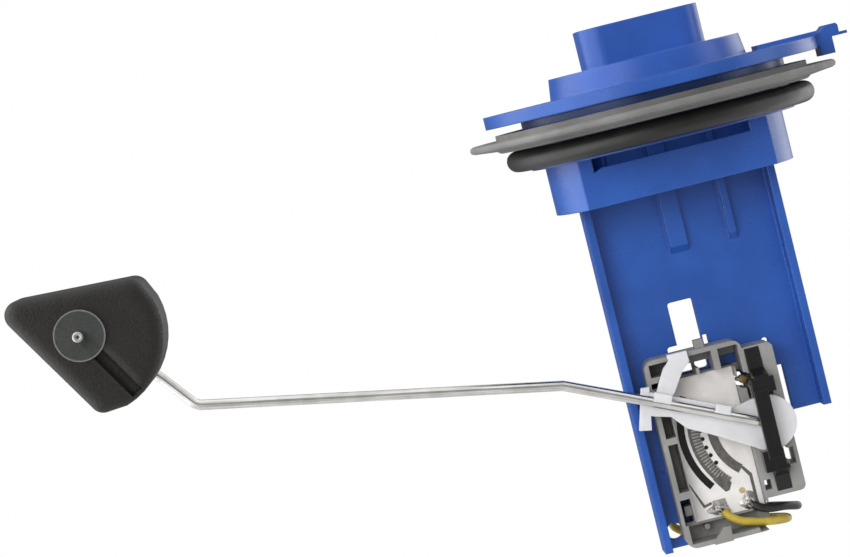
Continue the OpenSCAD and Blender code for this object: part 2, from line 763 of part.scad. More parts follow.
// Bent wire between two round pins, which turn in the housing and carry the float
module float_arm() {
    color("silver") {
        tube(bent_path([[pivot_x, rod_y + bend_r + cut, pivot_z], [pivot_x, rod_y, pivot_z],
            [arm_bend_1[0], rod_y, arm_bend_1[1]], [arm_bend_2[0], rod_y, arm_bend_2[1]],
            [arm_bend_3[0], rod_y, arm_bend_3[1]], [axle[0], rod_y, axle[1]],
            [axle[0], rod_y - bend_r - cut, axle[1]]]), rod_r - 0.02, 16);
        rod_between([pivot_x, rod_y + bend_r, pivot_z], [pivot_x, stub_end, pivot_z], rod_r);
        rod_between([axle[0], rod_y - bend_r, axle[1]], [axle[0], rod_tip, axle[1]], rod_r);
    }
}

// Runs a drawing along the rod's first stretch, with the pivot as its origin and the arm along -x
module along_arm() {
    translate([pivot_x, pivot_z]) rotate(-arm_angle) children();
}

module carrier_outline() {
    grow = hub_r / 6.6;
    translate([pivot_x, pivot_z]) circle(hub_r);
    along_arm() scale(grow) {
        polygon([[0, 6.4], [-5, 4.8], [-8.5, 2.2], [-29, 2], [-29, -3.4], [-27, -3.4], [-23, -2.8],
            [-18.8, -4.8], [-13.4, -5.1], [-3.2, -6.2], [0, -6.5]]);
        // Tail bar across the arm's end and the finger beside it
        polygon([[-31.2, 2.5], [-29.4, 3.2], [-26.9, -6.7], [-29.7, -7.4]]);
        polygon([[-27.6, 0.3], [-26.9, 7.9], [-26, 10], [-26.7, 11.3], [-22.4, 13.2], [-21.2, 10.9],
            [-22.4, 8.3], [-23.2, 3.3], [-24, 1]]);
    }
}

// Hook over the rod, a stretch of the carrier in front of it
module rod_hook(from, to) {
    slab(rod_y - rod_r - 0.7, carrier_front + 0.1) along_arm() rect(-to, 0.3, -from, 2.4);
}

module wiper_carrier() {
    corner = [pivot_x, rod_y, pivot_z];
    outward = unit([arm_bend_1[0] - pivot_x, 0, arm_bend_1[1] - pivot_z]);
    color("whitesmoke") difference() {
        union() {
            slab(carrier_front, carrier_back) carrier_outline();
            rod_hook(9.8, 13.4);
            rod_hook(24, 28);
        }
        rod_between(corner + bend_r * outward, [arm_bend_1[0], rod_y, arm_bend_1[1]], rod_r + fit);
        translate([pivot_x, cut, pivot_z]) rotate([90, 0, 0]) cylinder(h = rod_out + cut, r = rod_r + fit);
        rod_bend(corner, [0, -1, 0], outward, rod_r + fit);
    }
}

// Spring contact: a plate on the carrier's back with two bent fingers that press on the tracks
module wiper_contact() {
    tip_y = track_y - print_t - 0.05;
    base_y = carrier_back;
    color("gold") translate([pivot_x, 0, pivot_z]) rotate([0, arm_angle, 0]) {
        translate([-18.6, base_y, -1]) cube([7.2, 0.3, 3]);
        for (reach = [13, 17.2]) {
            translate([-reach - 0.6, 0, 0]) rotate([90, 0, 90]) linear_extrude(1.2)
                polygon([[base_y, -0.9], [base_y + 0.35, -0.9], [tip_y, -4.2], [tip_y - 0.3, -4.6]]);
        }
    }
}

module float_outline() {
    grow = float_r / 18.1;
    hull() {
        translate(grow * [-12.3, 7.6]) circle(3.4 * grow, $fn = 32);
        translate(grow * [13.4, 6.4]) circle(3.4 * grow, $fn = 32);
        translate(grow * [1.4, -15.4]) circle(3.1 * grow, $fn = 32);
        translate(grow * [0.8, -0.9]) polygon([for (a = [-72 : 8 : 16]) float_r * [cos(a), sin(a)]]);
    }
}

// Foam float with rounded edges, a bore for the rod and a groove in its front
module float() {
    color([0.17, 0.16, 0.15]) translate([axle[0], 0, axle[1]]) difference() {
        hull() {
            for (a = [0 : 30 : 90]) {
                sink = float_edge * (1 - cos(a));
                rise = float_edge * (1 - sin(a));
                slab(float_front + rise, float_back - rise) offset(delta = -sink) float_outline();
            }
        }
        translate([0, float_back + cut, 0]) rotate([90, 0, 0])
            cylinder(h = float_t + 2 * cut, r = rod_r + pivot_gap);
        slab(float_front - cut, float_front + 2) rotate(-59) rect(0, -1.45, 18.3, 1.45);
    }
}

module float_washer() {
    color([0.85, 0.87, 0.88, 0.6]) translate([axle[0], washer_back, axle[1]]) rotate([90, 0, 0])
        difference() {
            cylinder(h = washer_t, d = washer_d);
            translate([0, 0, -cut]) cylinder(h = washer_t + 2 * cut, r = rod_r + 0.02);
        }
}

flange_body();
flange_gasket();
o_ring();
card_housing();
resistor_card();
resistor_track();
contact_comb();
return_track();
brass_pin();
retaining_bridge();
signal_solder();
ground_solder();
signal_lead();
ground_lead();
signal_terminal();
ground_terminal();
signal_ferrule();
ground_ferrule();
float_arm();
wiper_carrier();
wiper_contact();
float_washer();
float();
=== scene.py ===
import math

import bpy
from mathutils import Matrix, Vector


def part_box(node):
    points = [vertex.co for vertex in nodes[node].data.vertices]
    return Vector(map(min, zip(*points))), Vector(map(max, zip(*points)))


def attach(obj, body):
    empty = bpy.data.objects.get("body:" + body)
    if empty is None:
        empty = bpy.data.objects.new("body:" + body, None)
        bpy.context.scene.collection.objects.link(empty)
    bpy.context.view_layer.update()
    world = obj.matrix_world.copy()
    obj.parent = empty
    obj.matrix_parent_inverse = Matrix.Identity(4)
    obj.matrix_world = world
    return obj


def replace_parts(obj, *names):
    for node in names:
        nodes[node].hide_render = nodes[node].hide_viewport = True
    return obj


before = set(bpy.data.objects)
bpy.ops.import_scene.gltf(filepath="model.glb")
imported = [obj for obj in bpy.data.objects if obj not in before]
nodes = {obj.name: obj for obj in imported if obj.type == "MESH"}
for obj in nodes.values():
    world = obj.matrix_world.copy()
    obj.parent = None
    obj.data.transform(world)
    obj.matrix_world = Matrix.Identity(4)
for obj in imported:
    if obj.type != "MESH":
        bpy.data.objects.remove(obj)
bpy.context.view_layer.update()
print("frame loaded,", len(nodes), "nodes")

perMetre = 1000  # the leads' routes, the card's prints and the solder's profile are in millimetres


def addObject(name, data):
    added = bpy.data.objects.new(name, data)
    bpy.context.scene.collection.objects.link(added)
    return added


# Camera: a long lens in front of the card side, rolled so that the sender hangs 14 degrees off upright
cameraSet = {
    "place": (-0.07556, -0.71371, 0.00493),
    "lens": 127.06,
    "sensor": 36,
    "clip": (0.05, 20),
    "turn": 1.0,
    "pitch": 2.85,
    "roll": 14.0,
}


def makeCamera(values):
    turn, pitch, roll = (math.radians(values[key]) for key in ("turn", "pitch", "roll"))
    ahead = Vector((math.sin(turn) * math.cos(pitch), math.cos(turn) * math.cos(pitch), -math.sin(pitch)))
    level = ahead.cross(Vector((0, 0, 1))).normalized()
    upright = level.cross(ahead)
    right = level * math.cos(roll) - upright * math.sin(roll)
    up = level * math.sin(roll) + upright * math.cos(roll)
    data = bpy.data.cameras.new("photoCamera")
    data.lens, data.sensor_width = values["lens"], values["sensor"]
    data.clip_start, data.clip_end = values["clip"]
    camera = addObject("photoCamera", data)
    camera.matrix_world = Matrix((
        (right.x, up.x, -ahead.x, values["place"][0]),
        (right.y, up.y, -ahead.y, values["place"][1]),
        (right.z, up.z, -ahead.z, values["place"][2]),
        (0, 0, 0, 1)))
    bpy.context.scene.camera = camera


makeCamera(cameraSet)
print("camera made")


# The two leads, with their routes in millimetres as the part has them: from the solder joints on the card,
# round the housing's lower corner, and up behind the plate to the crimps under the flange
leadSet = {
    "diameter": 0.002,
    "roundSteps": 5,
    "pathSteps": 8,
    "measureSteps": 12,
    "softness": 6,  # a bend leans by a sixth of the way between its neighbours
    "signal": {"cover": "yellowCover", "route": (
        (-7.6, -5.4, -101.4), (-6.6, -6, -102.8), (-4.4, -6.3, -104.4), (-1, -6.2, -105.5), (3, -5.6, -106.4),
        (6.4, -3.6, -107), (7.4, 0, -107.3), (5.2, 3.2, -107.1), (0, 4.6, -106.4), (-8, 4.8, -105.6),
        (-14.6, 4.8, -105.6), (-18.2, 4.7, -104.6), (-19.8, 4.6, -101), (-20.2, 4.6, -88), (-18.6, 4.6, -70),
        (-17.3, 4.6, -50), (-11, 4.6, -30), (-5.6, 5.4, -20), (-4.3, 5.9, -16.6), (-4, 6, -14.4),
        (-4, 6, -12.4), (-4, 6, -8))},
    "ground": {"cover": "blackCover", "route": (
        (-0.2, -5.4, -101.5), (1, -5.8, -102.5), (3.4, -5.5, -103.4), (7, -4.2, -103.9), (9.9, -2, -104.8),
        (10.4, 0.8, -105.2), (8.4, 3.6, -105.1), (4, 4.9, -104.3), (-3, 5.1, -103.2), (-10, 5.1, -102.4),
        (-14.6, 5, -100.4), (-16.6, 4.9, -95.4), (-16.6, 4.6, -84), (-16.2, 4.6, -68), (-12.5, 4.6, -50),
        (-5, 4.6, -34), (1.6, 5.2, -22), (3.7, 5.9, -17), (4, 6, -14.6), (4, 6, -12.4), (4, 6, -8))},
}


def smoothCurve(name, points, thickness):
    # A round cord through the points, with the same soft bends as the part's own route
    data = bpy.data.curves.new(name, "CURVE")
    data.dimensions, data.resolution_u, data.use_fill_caps = "3D", leadSet["pathSteps"], True
    data.bevel_depth, data.bevel_resolution = 1, leadSet["roundSteps"]  # each knot's radius sets its size
    spline = data.splines.new("BEZIER")
    spline.bezier_points.add(len(points) - 1)
    for i, knot in enumerate(spline.bezier_points):
        before, here, after = points[max(i - 1, 0)], points[i], points[min(i + 1, len(points) - 1)]
        lean = (after - before) / leadSet["softness"]
        knot.co, knot.handle_left, knot.handle_right = here, here - lean, here + lean
        knot.radius = thickness / 2
    return addObject(name, data)


def routeLength(points):
    # Walks the soft bends in small steps
    last, steps = len(points) - 1, leadSet["measureSteps"]
    total = 0
    for i in range(last):
        a, b, c, d = (points[min(max(i + k, 0), last)] for k in (-1, 0, 1, 2))
        slope, bend, twist = c - a, 2 * a - 5 * b + 4 * c - d, 3 * b - a - 3 * c + d
        spots = [0.5 * (2 * b + slope * t + bend * t ** 2 + twist * t ** 3)
                 for t in (k / steps for k in range(steps + 1))]
        total += sum((after - before).length for before, after in zip(spots, spots[1:]))
    return total


leads = {}
for side in ("signal", "ground"):
    route = [Vector(spot) / perMetre for spot in leadSet[side]["route"]]
    lead = leads[side] = smoothCurve(side + "LeadCover", route, leadSet["diameter"])
    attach(lead, "sender_base")
    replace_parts(lead, side + "_lead")
    round(routeLength(route), 4)
print("leads run")


# Shader maths: a wire is one output socket that can stand in a sum
class Wire:
    def __init__(self, paint, socket):
        self.paint, self.socket = paint, socket

    def __add__(self, other):
        return self.paint.math("ADD", self, other)

    def __sub__(self, other):
        return self.paint.math("SUBTRACT", self, other)

    def __rsub__(self, other):
        return self.paint.math("SUBTRACT", other, self)

    def __mul__(self, other):
        return self.paint.math("MULTIPLY", self, other)

    def __gt__(self, other):
        return self.paint.math("GREATER_THAN", self, other)

    def __lt__(self, other):
        return self.paint.math("LESS_THAN", self, other)

    __radd__ = __add__
    __rmul__ = __mul__


# How far apart nodes stand in the editor, and the roughness that all the noises share
paintSet = {"perRow": 9, "across": 180, "down": 220, "noiseRoughness": 0.55}


class Paint:
    def __init__(self, owner):
        self.tree = owner.node_tree
        self.tree.nodes.clear()

    # Adds a node: its settings first, then what its sockets hold or are wired to
    def node(self, kind, settings=None, sockets=None, out=0):
        row, column = divmod(len(self.tree.nodes), paintSet["perRow"])
        made = self.tree.nodes.new("ShaderNode" + kind)
        made.location = (column * paintSet["across"], -row * paintSet["down"])
        for key, value in (settings or {}).items():
            setattr(made, key, value)
        for key, value in (sockets or {}).items():
            if isinstance(value, Wire):
                self.tree.links.new(value.socket, made.inputs[key])
            else:
                made.inputs[key].default_value = value
        return Wire(self, made.outputs[out]) if made.outputs else None

    def math(self, operation, a, b):
        return self.node("Math", {"operation": operation}, {0: a, 1: b})

    def mix(self, share, a, b):
        return self.node("Mix", {"data_type": "RGBA"}, {0: share, 6: a, 7: b}, 2)

    def noise(self, size, detail):
        return self.node("TexNoise", {}, {
            "Vector": self.node("TexCoord", out="Object"), "Scale": 1 / size, "Detail": detail,
            "Roughness": paintSet["noiseRoughness"]})

    def rise(self, share, low, high):
        return self.node("MapRange", {}, {0: share, 1: low, 2: high})


def newMaterial(name):
    material = bpy.data.materials.new(name)
    material.use_nodes = True
    return material, Paint(material)


def tone(red, green, blue):
    # A colour written 0 to 255, turned into the light it stands for by the usual screen curve
    return tuple((c / 255 / 12.92) if c < 11 else ((c / 255 + 0.055) / 1.055) ** 2.4
                 for c in (red, green, blue)) + (1,)


# Finishes: the two colours each wanders between, the size of its patches, its roughness from least to most,
# the size and height of its grain, and how far its edges are rounded
finishes = {
    "blueAcetal": {
        "dark": tone(33, 77, 156), "light": tone(42, 92, 179), "patch": 0.02,
        "rough": (0.24, 0.34), "grain": 0.0006, "bump": 0.08, "edge": 0.0006},
    "gasketRubber": {
        "dark": tone(100, 100, 98), "light": tone(124, 124, 122), "patch": 0.012,
        "rough": (0.5, 0.65), "grain": 0.0004, "bump": 0.25, "edge": 0.0004},
    "sealRubber": {
        "dark": tone(13, 13, 12), "light": tone(27, 27, 25), "patch": 0.006,
        "rough": (0.3, 0.45), "grain": 0.0003, "bump": 0.3, "edge": 0.0},
    "greyAcetal": {
        "dark": tone(130, 129, 126), "light": tone(150, 149, 147), "patch": 0.008,
        "rough": (0.4, 0.52), "grain": 0.0003, "bump": 0.15, "edge": 0.00025},
    "ceramic": {
        "dark": tone(228, 224, 221), "light": tone(244, 241, 238), "patch": 0.004,
        "rough": (0.45, 0.6), "grain": 0.00015, "bump": 0.2, "edge": 0.0001},
    "resistInk": {
        "dark": tone(6, 6, 7), "light": tone(16, 16, 18), "patch": 0.001,
        "rough": (0.3, 0.45), "grain": 0.0001, "bump": 0.25, "edge": 0.0},
    "silverInk": {
        "dark": tone(96, 93, 90), "light": tone(126, 123, 119), "patch": 0.001,
        "rough": (0.35, 0.5), "grain": 0.0001, "bump": 0.25, "edge": 0.0, "metal": 0.5},
    "paleInk": {
        "dark": tone(148, 144, 140), "light": tone(176, 172, 168), "patch": 0.001,
        "rough": (0.35, 0.5), "grain": 0.0001, "bump": 0.25, "edge": 0.0, "metal": 0.4},
    "tanInk": {
        "dark": tone(184, 158, 118), "light": tone(206, 184, 148), "patch": 0.0006,
        "rough": (0.4, 0.5), "grain": 0.0001, "bump": 0.25, "edge": 0.0},
    "blackPlastic": {
        "dark": tone(8, 8, 9), "light": tone(17, 17, 19), "patch": 0.004,
        "rough": (0.24, 0.36), "grain": 0.0003, "bump": 0.1, "edge": 0.00025},
    "solder": {
        "dark": tone(176, 174, 170), "light": tone(222, 220, 216), "patch": 0.001,
        "rough": (0.14, 0.32), "grain": 0.0003, "bump": 0.5, "edge": 0.0, "metal": 1.0},
    "yellowCover": {
        "dark": tone(166, 142, 44), "light": tone(196, 172, 66), "patch": 0.003,
        "rough": (0.35, 0.5), "grain": 0.0003, "bump": 0.15, "edge": 0.0},
    "blackCover": {
        "dark": tone(18, 18, 18), "light": tone(36, 36, 35), "patch": 0.003,
        "rough": (0.32, 0.46), "grain": 0.0003, "bump": 0.15, "edge": 0.0},
    "whiteAcetal": {
        "dark": tone(208, 208, 211), "light": tone(224, 224, 226), "patch": 0.006,
        "rough": (0.34, 0.46), "grain": 0.0003, "bump": 0.1, "edge": 0.0003, "scatter": 0.25},
    "brass": {
        "dark": tone(186, 156, 104), "light": tone(218, 192, 142), "patch": 0.001,
        "rough": (0.22, 0.4), "grain": 0.0002, "bump": 0.1, "edge": 0.0001, "metal": 1.0},
    "tin": {
        "dark": tone(168, 166, 160), "light": tone(200, 198, 192), "patch": 0.001,
        "rough": (0.25, 0.42), "grain": 0.0002, "bump": 0.15, "edge": 0.0001, "metal": 1.0},
    "foam": {
        "dark": tone(13, 11, 9), "light": tone(23, 20, 17), "patch": 0.007,
        "rough": (0.4, 0.55), "grain": 0.0006, "bump": 0.3, "edge": 0.0032, "sheen": 0.45},
}

# What the plain finishes share
plainSet = {
    "cloudDetail": 4.0,
    "cloudRange": (0.3, 0.7),  # the noise's own range, from the dark colour to the light one
    "glossPatch": 0.4,  # beside the colour's patches
    "glossDetail": 5.0,
    "glossSwing": 1.4,
    "glossDrop": 0.2,
    "grainDetail": 3.0,
    "edgeSamples": 6,
    "scatterReach": 0.002,
    "sheen": 0.5,
}


def plainFinish(name, values):
    material, paint = newMaterial(name)
    cloud = paint.noise(values["patch"], plainSet["cloudDetail"])
    colour = paint.mix(paint.rise(cloud, *plainSet["cloudRange"]), values["dark"], values["light"])
    low, high = values["rough"]
    shine = paint.noise(values["patch"] * plainSet["glossPatch"], plainSet["glossDetail"])
    gloss = shine * ((high - low) * plainSet["glossSwing"]) + (low - plainSet["glossDrop"] * (high - low))
    grain = paint.noise(values["grain"], plainSet["grainDetail"])
    bumpIn = {"Strength": values["bump"], "Distance": values["grain"], "Height": grain}
    if values["edge"]:
        samples = {"samples": plainSet["edgeSamples"]}
        bumpIn["Normal"] = paint.node("Bevel", samples, {"Radius": values["edge"]})
    shader = paint.node("BsdfPrincipled", {}, {
        "Base Color": colour, "Roughness": gloss, "Normal": paint.node("Bump", {}, bumpIn),
        "Metallic": values.get("metal", 0.0), "Specular IOR Level": values.get("sheen", plainSet["sheen"]),
        "Subsurface Weight": values.get("scatter", 0.0), "Subsurface Radius": (plainSet["scatterReach"],) * 3,
        "Subsurface Scale": 1.0})
    paint.node("OutputMaterial", {}, {"Surface": shader})
    return material


# Drawn stainless wire: die lines run along each stretch, whose slope is taken from the arm's own bends
rodSet = {
    "dark": tone(186, 184, 181),
    "light": tone(234, 232, 229),
    "colourRange": (0.36, 0.62),
    "lineWidth": 0.00035,
    "lineStretch": 0.02,
    "lineDetail": 2.0,
    "lineShare": 0.6,
    "lineBump": 0.12,
    "lineDepth": 0.00005,
    "stainSize": 0.006,
    "stainDetail": 4.0,
    "stainShare": 0.4,
    "rough": 0.15,
    "stainRough": 0.16,
    "firstBend": -0.0379,
    "secondBend": -0.1223,
    "slopes": (24.4, 11.1, 50.5),
}


def wireFinish(values):
    material, paint = newMaterial("drawnWire")
    place = paint.node("TexCoord", out="Object")
    across, depth, height = (paint.node("SeparateXYZ", {}, {0: place}, k) for k in range(3))
    near = across > values["firstBend"]
    far = across < values["secondBend"]
    rise, run = ([turn(math.radians(slope)) for slope in values["slopes"]] for turn in (math.sin, math.cos))
    sine, cosine = (near * (way[0] - way[1]) + far * (way[2] - way[1]) + way[1] for way in (rise, run))
    side = across * sine + height * cosine
    along = (height * sine - across * cosine) * values["lineStretch"]
    lined = paint.node("CombineXYZ", {}, {0: along, 1: depth, 2: side})
    drawn = paint.node("TexNoise", {}, {
        "Vector": lined, "Scale": 1 / values["lineWidth"], "Detail": values["lineDetail"]})
    stain = paint.noise(values["stainSize"], values["stainDetail"])
    share = paint.rise(drawn * values["lineShare"] + stain * values["stainShare"], *values["colourRange"])
    shader = paint.node("BsdfPrincipled", {}, {
        "Base Color": paint.mix(share, values["dark"], values["light"]), "Metallic": 1.0,
        "Roughness": stain * values["stainRough"] + values["rough"],
        "Normal": paint.node("Bump", {}, {
            "Strength": values["lineBump"], "Distance": values["lineDepth"], "Height": drawn})})
    paint.node("OutputMaterial", {}, {"Surface": shader})
    return material


# Clear washer, hazed by handling, with a painted highlight round its rim
washerLow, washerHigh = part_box("float_washer")
washerSet = {
    "tint": tone(96, 99, 97),
    "shade": 0.8,  # the haze's darker tint beside the lighter one
    # Painted highlight: the lighter colour of a band round the washer's outer edge
    "rimHighlight": tone(150, 152, 150),
    "rimHighlightWidths": (0.0004, 0.0001),
    "clear": 0.23,
    "hazeClear": 0.14,
    "rimHighlightClear": 0.2,
    "rough": 0.1,
    "hazeRough": 0.2,
    "hazeSize": 0.002,
    "hazeDetail": 4.0,
    "bump": 0.1,
    "bumpDepth": 0.0003,
    "ior": 1.49,
    "centre": tuple((washerLow + washerHigh) / 2),
    "radius": (washerHigh.x - washerLow.x) / 2,
}


def washerFinish(values):
    material, paint = newMaterial("clearWasher")
    haze = paint.noise(values["hazeSize"], values["hazeDetail"])
    shade = tuple(c * values["shade"] for c in values["tint"][:3]) + (1,)
    place = paint.node("TexCoord", out="Object")
    reach = paint.node("VectorMath", {"operation": "DISTANCE"}, {0: place, 1: values["centre"]}, 1)
    # A band just inside the outer edge is painted lighter and less clear: a painted highlight on the rim
    rimHighlight = paint.rise(reach, *(values["radius"] - width for width in values["rimHighlightWidths"]))
    shader = paint.node("BsdfPrincipled", {}, {
        "Base Color": paint.mix(rimHighlight, paint.mix(haze, shade, values["tint"]), values["rimHighlight"]),
        "Alpha": haze * values["hazeClear"] + values["clear"] + rimHighlight * values["rimHighlightClear"],
        "Roughness": haze * values["hazeRough"] + values["rough"],
        "Normal": paint.node("Bump", {}, {
            "Strength": values["bump"], "Distance": values["bumpDepth"], "Height": haze}),
        "IOR": values["ior"]})
    paint.node("OutputMaterial", {}, {"Surface": shader})
    return material


coats = {name: plainFinish(name, values) for name, values in finishes.items()}
coats["drawnWire"] = wireFinish(rodSet)
coats["clearWasher"] = washerFinish(washerSet)

nodeFinish = {
    "flange_body": "blueAcetal", "flange_gasket": "gasketRubber", "o_ring": "sealRubber",
    "card_housing": "greyAcetal", "resistor_card": "ceramic", "resistor_track": "resistInk",
    "contact_comb": "silverInk", "return_track": "silverInk", "brass_pin": "brass",
    "retaining_bridge": "blackPlastic", "signal_solder": "solder", "ground_solder": "solder",
    "signal_lead": "yellowCover", "ground_lead": "blackCover", "signal_terminal": "tin",
    "ground_terminal": "tin", "signal_ferrule": "tin", "ground_ferrule": "tin", "float_arm": "drawnWire",
    "wiper_carrier": "whiteAcetal", "wiper_contact": "brass", "float_washer": "clearWasher", "float": "foam",
}
for name, finish in nodeFinish.items():
    slots = nodes[name].data.materials
    slots.clear()
    slots.append(coats[finish])
for side, lead in leads.items():
    lead.data.materials.append(coats[leadSet[side]["cover"]])
print("finishes made and given to the nodes")


def meshPiece(name, points, faces, finish, body="sender_base", smooth=False):
    mesh = bpy.data.meshes.new(name)
    mesh.from_pydata(points, [], faces)
    if smooth:
        mesh.shade_smooth()
    mesh.materials.append(coats[finish])
    piece = addObject(name, mesh)
    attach(piece, body)
    return piece


def slab(outline, front, back):
    # A closed plate between two depths; the outline goes anticlockwise as the camera sees it
    count = len(outline)
    points = [(x, y, z) for y in (front, back) for x, z in outline]
    walls = [(i, count + i, count + (i + 1) % count, (i + 1) % count) for i in range(count)]
    return points, [tuple(range(count)), tuple(range(2 * count - 1, count - 1, -1))] + walls


def disc(place, radius, steps):
    angles = [k * math.tau / steps for k in range(steps)]
    return [(place[0] + radius * math.cos(angle), place[1] + radius * math.sin(angle)) for angle in angles]


# Small printed marks on the card, in millimetres across and up, as seen in the photograph
cardLow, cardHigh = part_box("resistor_card")
printSet = {
    "thick": 0.00006,
    "lift": 0.00001,  # how far each shape stands in front of the one before
    "spotLift": 0.00002,
    "spotSteps": 20,
    "shapes": {
        "cardBorder": ("ceramic", ((0.78, -102.4), (2.45, -102.4), (2.45, -68.3), (0.78, -68.3))),
        "rightTrace": ("silverInk", (
            (0.45, -94.9), (0.5, -102.3), (1.25, -102.3), (1.2, -94.4), (-0.4, -92.2), (-1.2, -92.2))),
        "leftTrace": ("silverInk", (
            (-11.9, -99.8), (-9.7, -99.3), (-9.9, -98.7), (-11.5, -99.1), (-13.9, -93.3), (-14.2, -93.3))),
        "combFoot": ("silverInk", (
            (-8.2, -93.6), (-7.2, -95.3), (-5.9, -97.2), (-4.9, -97.0), (-4.0, -95.4), (-5.2, -93.2))),
        "solderLand": ("paleInk", ((-9.6, -102.2), (-6.4, -102.2), (-6.4, -98.6), (-9.6, -98.6))),
    },
    "spots": {
        "testSpot.0": ("resistInk", (-8.3, -83.6), 0.5),
        "testSpot.1": ("resistInk", (-7.93, -85.77), 0.5),
        "testSpot.2": ("resistInk", (-7.33, -87.81), 0.5),
        "testSpot.3": ("resistInk", (-6.48, -89.86), 0.5),
        "testSpot.4": ("resistInk", (-8.45, -81.6), 0.5),
        "tanSpot": ("tanInk", (-2.01, -97.81), 0.75),
        "fluxSpot": ("resistInk", (-0.62, -98.75), 0.42),
    },
    "hatch": {
        "count": 60, "width": 0.13, "centre": (7.2, -82.793), "near": 15.7, "far": 18.0,
        "low": -30, "high": 47},
}


def printedShape(name, outline, finish, lift):
    face = cardLow.y - lift
    outline = [(x / perMetre, z / perMetre) for x, z in outline]
    meshPiece(name, *slab(outline, face - printSet["thick"], face), finish)


def printHatch(values):
    # Fine strips of the comb, all in one mesh, each a thin plate fanned round the pivot
    points, faces = [], []
    face = cardLow.y - printSet["lift"]
    centre = Vector(values["centre"])
    for k in range(values["count"]):
        angle = math.radians(values["low"] + (k + 0.5) * (values["high"] - values["low"]) / values["count"])
        out = Vector((-math.cos(angle), -math.sin(angle)))
        aside = Vector((-out.y, out.x)) * values["width"] / 2
        corners = [(centre + out * values[end] + aside * sign) / perMetre
                   for end, sign in (("near", 1), ("near", -1), ("far", -1), ("far", 1))]
        stripPoints, stripFaces = slab(corners, face - printSet["thick"], face)
        faces += [tuple(len(points) + i for i in corner) for corner in stripFaces]
        points += stripPoints
    meshPiece("combHatch", points, faces, "silverInk")


for order, (name, (finish, outline)) in enumerate(printSet["shapes"].items()):
    printedShape(name, outline, finish, order * printSet["lift"])
for name, (finish, place, size) in printSet["spots"].items():
    printedShape(name, disc(place, size, printSet["spotSteps"]), finish, printSet["spotLift"])
printHatch(printSet["hatch"])
print("card printed")


# Solder joints: a lumpy cone of solder over the stripped strands of each lead
jointSet = {
    "strands": 5,
    "strandSize": 0.00042,
    "spread": 0.0005,  # of the strands where they leave the cover
    "bowSpread": 0.6,
    "endSpread": 1.6,
    "tuck": 0.0004,  # how far they start inside the cover
    "bowRise": 0.0005,
    "endRise": 0.0008,
    "profile": ((0.0, 1.3), (0.45, 1.22), (0.9, 0.95), (1.3, 0.55), (1.7, 0.2), (2.05, 0.0)),
    "steps": 28,
    "lumps": 0.16,
    "lumpReach": 2,
    "waves": ((1, 3, 1), (0.6, 5, -2)),  # height, count round the foot, and shift from ring to ring
    "stretch": {"signal": (1.25, 0.85), "ground": (1.0, 1.1)},
}


def solderCone(side, middle, values):
    # A revolved profile, pulled out of round and with waves round its foot
    steps = values["steps"]
    points, faces = [(middle.x, middle.y - values["profile"][0][1] / perMetre, middle.z)], []
    wide, tall = values["stretch"][side]
    for ring, (reach, rise) in enumerate(values["profile"][1:]):
        for k in range(steps):
            angle = k * math.tau / steps
            waves = sum(height * math.sin(count * angle + shift * ring)
                        for height, count, shift in values["waves"])
            far = reach * (1 + values["lumps"] * waves * reach / values["lumpReach"]) / perMetre
            points.append((middle.x + math.cos(angle) * far * wide, middle.y - rise / perMetre,
                           middle.z + math.sin(angle) * far * tall))
    for ring in range(len(values["profile"]) - 1):
        inner, outer = 1 + (ring - 1) * steps, 1 + ring * steps
        for k in range(steps):
            n = (k + 1) % steps
            faces.append((inner + k, outer + k, outer + n, inner + n) if ring else (0, outer + k, outer + n))
    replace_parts(meshPiece(side + "SolderCone", points, faces, "solder", smooth=True), side + "_solder")


def strands(side, values):
    # Stripped strands from the cover's end into the solder
    route = [Vector(spot) / perMetre for spot in leadSet[side]["route"][:2]]
    low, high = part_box(side + "_solder")
    middle = Vector(((low.x + high.x) / 2, high.y, (low.z + high.z) / 2))
    back = (route[0] - route[1]).normalized()
    for k in range(values["strands"]):
        angle = k * math.tau / values["strands"]
        aside = Vector((math.cos(angle), 0, math.sin(angle))) * values["spread"]
        start = route[0] - back * values["tuck"] + aside
        end = middle + aside * values["endSpread"] - Vector((0, values["endRise"], 0))
        bow = (start + end) / 2 + aside * values["bowSpread"] - Vector((0, values["bowRise"], 0))
        strand = smoothCurve(side + "Strand." + str(k), [start, bow, end], values["strandSize"])
        strand.data.materials.append(coats["tin"])
        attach(strand, "sender_base")
    solderCone(side, middle, values)


for side in leads:
    strands(side, jointSet)
print("solder joints made")


# Peened rim round the end of the wire, in front of the washer, with a black disc in its middle as painted
# shade in the dimple
rimSet = {
    "place": (-0.1425, -0.0223927),
    "reach": 0.00084,
    "thick": 0.00034,
    # Radius of the black disc of painted shade in the dimple, and how far it stands in front of the tip
    "dimpleShade": 0.0003,
    "dimpleShadeRise": 0.00004,
    "steps": (32, 12),
}


def wireEnd(values):
    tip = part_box("float_arm")[0].y
    around, across = values["steps"]
    x, z = values["place"]
    points, faces = [], []
    for i in range(around):
        angle = i * math.tau / around
        for k in range(across):
            turn = k * math.tau / across
            reach = values["reach"] + values["thick"] * math.cos(turn)
            points.append((x + reach * math.cos(angle), tip + values["thick"] * math.sin(turn),
                           z + reach * math.sin(angle)))
            n, m = (i + 1) % around * across, (k + 1) % across
            faces.append((i * across + k, i * across + m, n + m, n + k))
    meshPiece("wireEndRim", points, faces, "tin", body="arm", smooth=True)
    # The dimple is a black disc in the ink finish: painted shade in its hollow
    dimpleShade = disc(values["place"], values["dimpleShade"], around)
    meshPiece("wireEndDimpleShade", *slab(dimpleShade, tip - values["dimpleShadeRise"], tip + values["thick"]), "resistInk",
              body="arm")


wireEnd(rimSet)
print("wire end peened")


